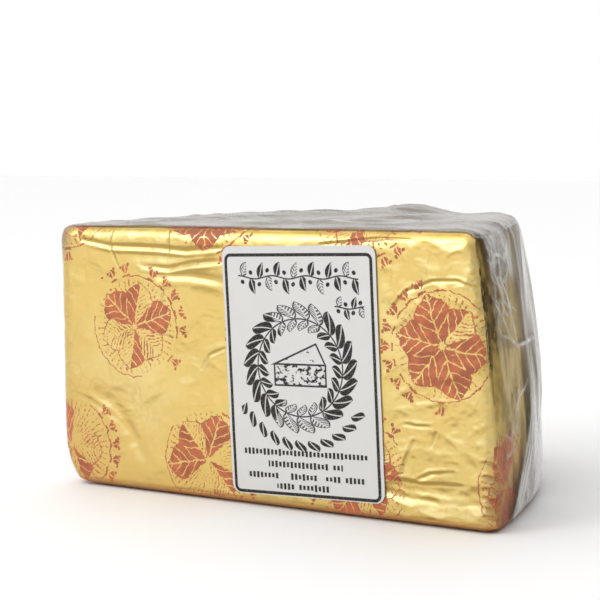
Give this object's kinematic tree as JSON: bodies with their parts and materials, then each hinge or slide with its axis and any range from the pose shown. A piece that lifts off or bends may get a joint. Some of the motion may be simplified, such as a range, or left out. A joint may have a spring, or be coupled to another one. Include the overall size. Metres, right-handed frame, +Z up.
{
  "type": "wrapped cheese wedge",
  "caption": "Wedge of blue cheese wrapped in printed gold foil and clear stretch film, with a card label on the front cut face.",
  "frame": {"origin": "on the surface it stands on, under the middle of the whole", "axes": "+X from the tip to the rind along the front cut face, -Y out of the front cut face with the label, +Z up"},
  "size_m": [0.1468, 0.1046, 0.0821],
  "materials": {
    "gold_foil": "gold aluminium foil printed in brick red, under clear stretch film",
    "stretch_film": "thin clear stretch film, milky where it bunches",
    "label_card": "satin white paper printed in black"
  },
  "bodies": {
    "root": {"wrapped_wedge": "gold_foil", "label": "label_card"}
  },
  "joints": []
}
